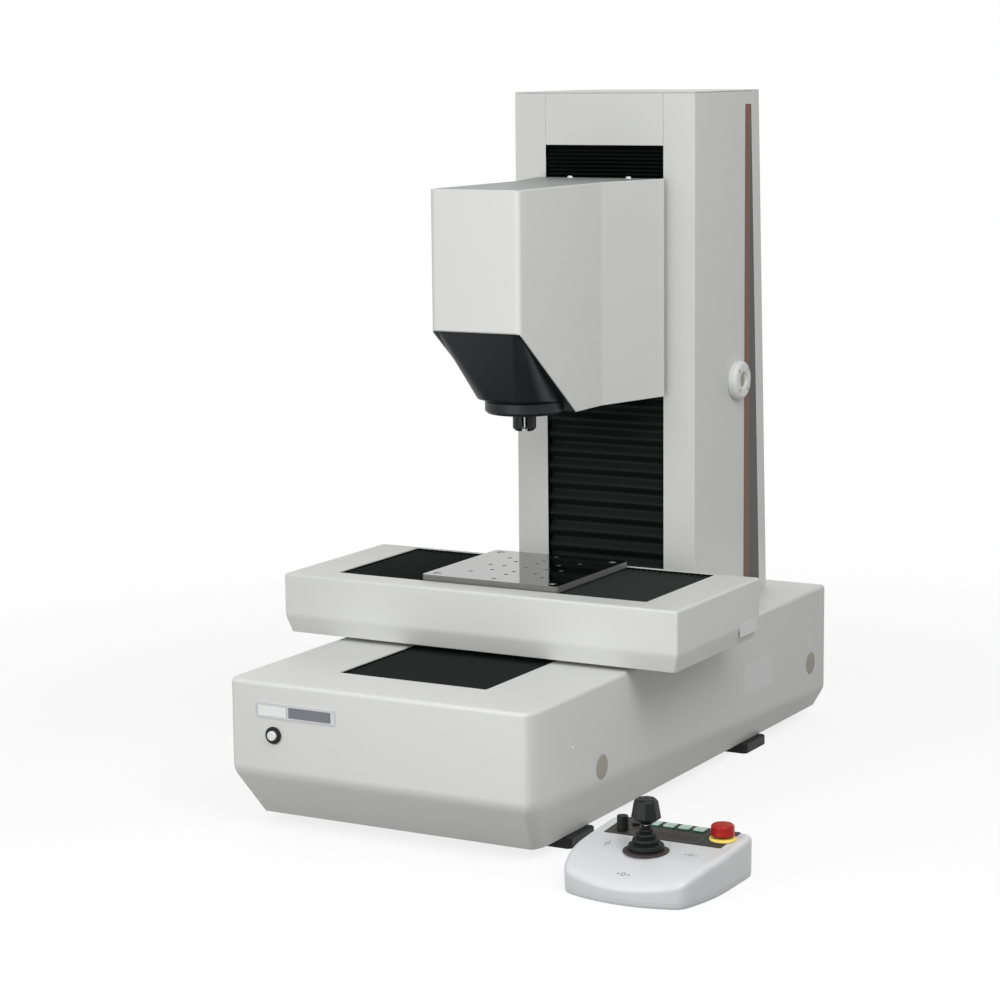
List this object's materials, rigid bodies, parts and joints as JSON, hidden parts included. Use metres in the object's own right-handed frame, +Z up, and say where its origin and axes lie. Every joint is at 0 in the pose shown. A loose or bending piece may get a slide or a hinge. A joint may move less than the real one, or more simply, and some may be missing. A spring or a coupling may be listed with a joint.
{
  "type": "rockwell hardness tester",
  "caption": "Motorised hardness tester with a column, a travelling test head, a two-axis table on a bed, and a joystick control box.",
  "frame": {"origin": "on the surface the machine stands on, under the middle of the whole set", "axes": "+Z up, +Y from the operator towards the column, +X to the operator's right"},
  "size_m": [1.0326, 1.339, 1.2604],
  "materials": {
    "cover_paint": "light grey powder coat, fine texture, semi-matt",
    "cast_iron": "grey casting, machined on its seats",
    "light_alloy": "machined aluminium casting",
    "ground_steel": "surface-ground hardened steel",
    "rail_steel": "ground rail and screw steel",
    "motor_black": "black motor enamel",
    "bellows_cloth": "coated black bellows cloth",
    "black_plastic": "black moulded plastic, satin",
    "plug_plastic": "beige grey plastic",
    "white_plastic": "white moulded plastic",
    "plate_metal": "satin aluminium plate with a printed field",
    "panel_grey": "dark brown grey panel film",
    "button_green": "translucent green caps",
    "stop_red": "red moulded plastic",
    "stop_yellow": "yellow moulded plastic",
    "soft_rubber": "black rubber"
  },
  "bodies": {
    "root": {"base_cover": "cover_paint", "base_casting": "cast_iron", "levelling_feet": "soft_rubber", "cover_plugs": "plug_plastic", "nameplate": "plate_metal", "power_bezel": "black_plastic", "mains_inlet": "black_plastic", "y_rails": "rail_steel", "y_motor": "motor_black", "y_bellows_front": "bellows_cloth", "y_bellows_rear": "bellows_cloth", "column_casting": "cast_iron", "z_rails": "rail_steel", "z_motor": "motor_black", "column_right_cover": "cover_paint", "column_left_cover": "cover_paint", "column_front_cover": "cover_paint", "column_rear_cover": "cover_paint", "column_side_cap": "white_plastic", "z_bellows_upper": "bellows_cloth", "z_bellows_lower": "bellows_cloth"},
    "y_stage": {"stage_cover": "cover_paint", "stage_saddle": "cast_iron", "y_carriages": "rail_steel", "x_rails": "rail_steel", "x_motor": "motor_black", "x_bellows_left": "bellows_cloth", "x_bellows_right": "bellows_cloth"},
    "x_table": {"table_plate": "ground_steel", "table_carriage": "light_alloy", "x_carriages": "rail_steel"},
    "z_head": {"head_cover": "cover_paint", "head_top_cover": "cover_paint", "head_bottom_cover": "cover_paint", "head_frame": "light_alloy", "z_carriages": "rail_steel", "load_actuator": "motor_black", "nose_cone": "black_plastic", "indenter_guard": "black_plastic"},
    "ram": {"loading_spindle": "ground_steel", "indenter": "ground_steel"},
    "y_lead_screw": {"y_screw": "rail_steel"},
    "x_lead_screw": {"x_screw": "rail_steel"},
    "z_lead_screw": {"z_screw": "rail_steel"},
    "power_cap": {"power_button": "white_plastic"},
    "control_box": {"control_case": "white_plastic", "control_panel": "panel_grey", "joystick_boot": "soft_rubber", "e_stop_collar": "stop_yellow"},
    "gimbal": {"joystick_gimbal": "rail_steel"},
    "stick": {"joystick_stick": "rail_steel"},
    "grip": {"joystick_knob": "black_plastic"},
    "speed_dial": {"speed_knob": "black_plastic"},
    "mode_cap": {"mode_button": "black_plastic"},
    "button_1": {"axis_button_1": "button_green"},
    "button_2": {"axis_button_2": "button_green"},
    "button_3": {"axis_button_3": "button_green"},
    "button_4": {"axis_button_4": "button_green"},
    "stop_stem": {"e_stop_stem": "black_plastic"},
    "stop_head": {"e_stop_head": "stop_red"}
  },
  "joints": [
    {"name": "y_travel", "type": "slide", "parent": "root", "child": "y_stage", "axis": [0, 1, 0], "range_m": [-0.1, 0.1], "deforming": ["y_bellows_front", "y_bellows_rear"]},
    {"name": "x_travel", "type": "slide", "parent": "y_stage", "child": "x_table", "axis": [1, 0, 0], "range_m": [-0.1, 0.1], "deforming": ["x_bellows_left", "x_bellows_right"]},
    {"name": "z_travel", "type": "slide", "parent": "root", "child": "z_head", "axis": [0, 0, 1], "range_m": [-0.24, 0.03], "deforming": ["z_bellows_upper", "z_bellows_lower"]},
    {"name": "ram_stroke", "type": "slide", "parent": "z_head", "child": "ram", "axis": [0, 0, -1], "range_m": [0, 0.006], "stiffness_N_per_m": 20000, "springref_m": -0.003},
    {"name": "y_screw_spin", "type": "hinge", "parent": "root", "child": "y_lead_screw", "pos_m": [-0.11325, -0.0805, 0.179], "axis": [0, 1, 0], "continuous": true},
    {"name": "x_screw_spin", "type": "hinge", "parent": "y_stage", "child": "x_lead_screw", "pos_m": [-0.11325, -0.0435, 0.3149], "axis": [1, 0, 0], "continuous": true},
    {"name": "z_screw_spin", "type": "hinge", "parent": "root", "child": "z_lead_screw", "pos_m": [-0.11325, 0.3765, 0.719], "axis": [0, 0, 1], "continuous": true},
    {"name": "power_press", "type": "slide", "parent": "root", "child": "power_cap", "axis": [0, 1, 0], "range_m": [0, 0.003], "stiffness_N_per_m": 400},
    {"name": "control_lift", "type": "slide", "parent": "root", "child": "control_box", "axis": [0, 0, 1], "range_m": [0, 0.3]},
    {"name": "stick_fore_aft", "type": "hinge", "parent": "control_box", "child": "gimbal", "pos_m": [0.38575, -0.5565, 0.04], "axis": [1, 0, 0], "range_deg": [-18, 18], "stiffness_Nm_per_rad": 0.8, "deforming": ["joystick_boot"]},
    {"name": "stick_sideways", "type": "hinge", "parent": "gimbal", "child": "stick", "pos_m": [0.38575, -0.5565, 0.04], "axis": [0, 1, 0], "range_deg": [-18, 18], "stiffness_Nm_per_rad": 0.8, "deforming": ["joystick_boot"]},
    {"name": "grip_twist", "type": "hinge", "parent": "stick", "child": "grip", "pos_m": [0.38575, -0.5565, 0.125], "axis": [0, 0, 1], "range_deg": [-20, 20], "stiffness_Nm_per_rad": 0.3},
    {"name": "speed_turn", "type": "hinge", "parent": "control_box", "child": "speed_dial", "pos_m": [0.30675, -0.4835, 0.08], "axis": [0, 0, 1], "range_deg": [-135, 135]},
    {"name": "mode_press", "type": "slide", "parent": "control_box", "child": "mode_cap", "axis": [0, 0, -1], "range_m": [0, 0.002], "stiffness_N_per_m": 300, "springref_m": -0.001},
    {"name": "axis_press_1", "type": "slide", "parent": "control_box", "child": "button_1", "axis": [0, 0, -1], "range_m": [0, 0.0025], "stiffness_N_per_m": 300, "springref_m": -0.001},
    {"name": "axis_press_2", "type": "slide", "parent": "control_box", "child": "button_2", "axis": [0, 0, -1], "range_m": [0, 0.0025], "stiffness_N_per_m": 300, "springref_m": -0.001},
    {"name": "axis_press_3", "type": "slide", "parent": "control_box", "child": "button_3", "axis": [0, 0, -1], "range_m": [0, 0.0025], "stiffness_N_per_m": 300, "springref_m": -0.001},
    {"name": "axis_press_4", "type": "slide", "parent": "control_box", "child": "button_4", "axis": [0, 0, -1], "range_m": [0, 0.0025], "stiffness_N_per_m": 300, "springref_m": -0.001},
    {"name": "stop_press", "type": "slide", "parent": "control_box", "child": "stop_stem", "axis": [0, 0, -1], "range_m": [0, 0.004], "stiffness_N_per_m": 900, "springref_m": -0.001},
    {"name": "stop_release", "type": "hinge", "parent": "stop_stem", "child": "stop_head", "pos_m": [0.47875, -0.4635, 0.08], "axis": [0, 0, 1], "range_deg": [0, 35], "stiffness_Nm_per_rad": 0.1}
  ],
  "couplings": [
    {"joint": "y_screw_spin", "follows": "y_travel", "rad_per_m": 314.16},
    {"joint": "x_screw_spin", "follows": "x_travel", "rad_per_m": 314.16},
    {"joint": "z_screw_spin", "follows": "z_travel", "rad_per_m": 314.16}
  ]
}
